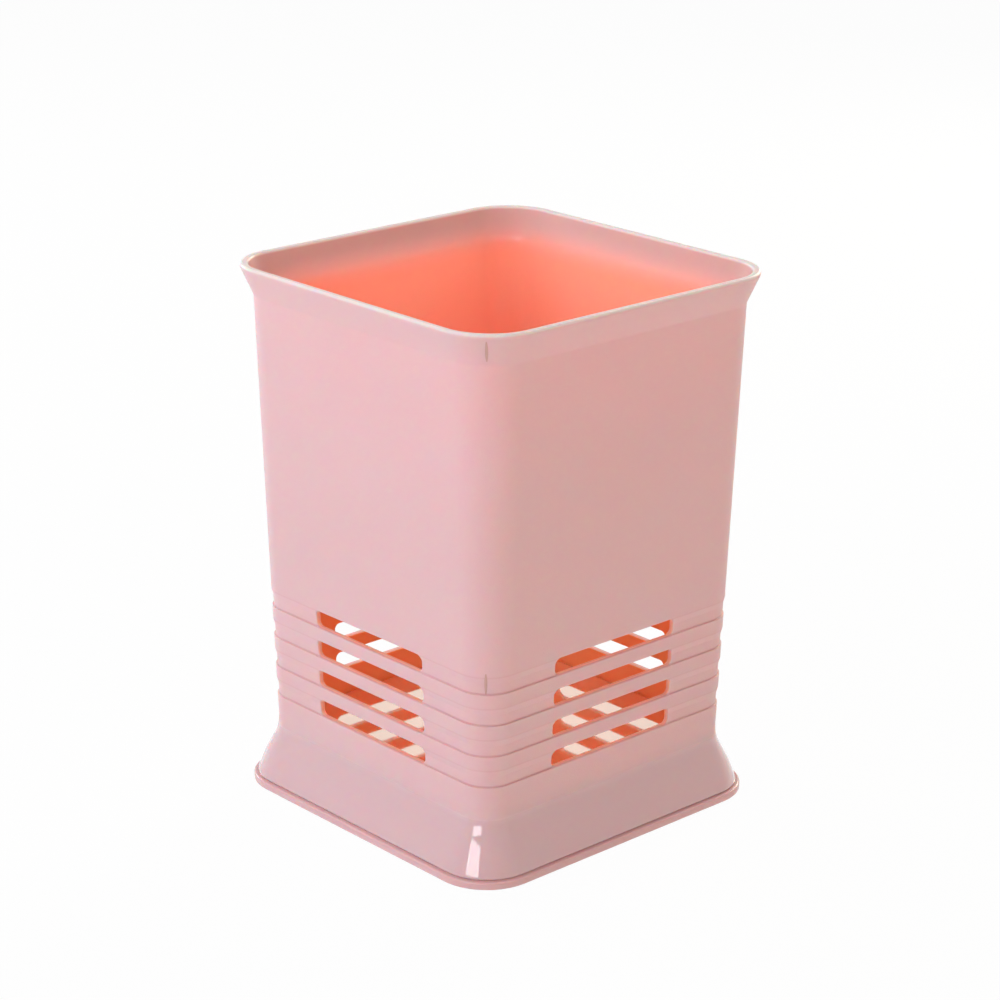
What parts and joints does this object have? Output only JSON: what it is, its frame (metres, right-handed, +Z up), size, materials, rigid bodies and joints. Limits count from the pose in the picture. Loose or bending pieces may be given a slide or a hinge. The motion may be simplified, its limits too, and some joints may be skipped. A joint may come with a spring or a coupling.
{
  "type": "cutlery holder",
  "caption": "Square open-topped cutlery holder with a flared rim and foot, drain slots in a grooved band, a lift-out floor and a drip tray under it.",
  "frame": {"origin": "centre of the drip tray's underside, on the table", "axes": "+Z up along the holder's upright axis, +X and +Y square to two neighbouring faces"},
  "size_m": [0.1, 0.1, 0.14],
  "materials": {
    "satin_pink": "satin, slightly translucent moulded plastic",
    "gloss_pink_floor": "polished moulded plastic",
    "gloss_pink_tray": "polished moulded plastic"
  },
  "bodies": {
    "tray": {"drip_tray": "gloss_pink_tray"},
    "holder": {"holder_body": "satin_pink"},
    "plate": {"drain_plate": "gloss_pink_floor"}
  },
  "joints": [
    {"name": "holder_lift", "type": "slide", "parent": "tray", "child": "holder", "axis": [0, 0, 1], "range_m": [0, 0.04]},
    {"name": "plate_lift", "type": "slide", "parent": "holder", "child": "plate", "axis": [0, 0, 1], "range_m": [0, 0.13]}
  ]
}
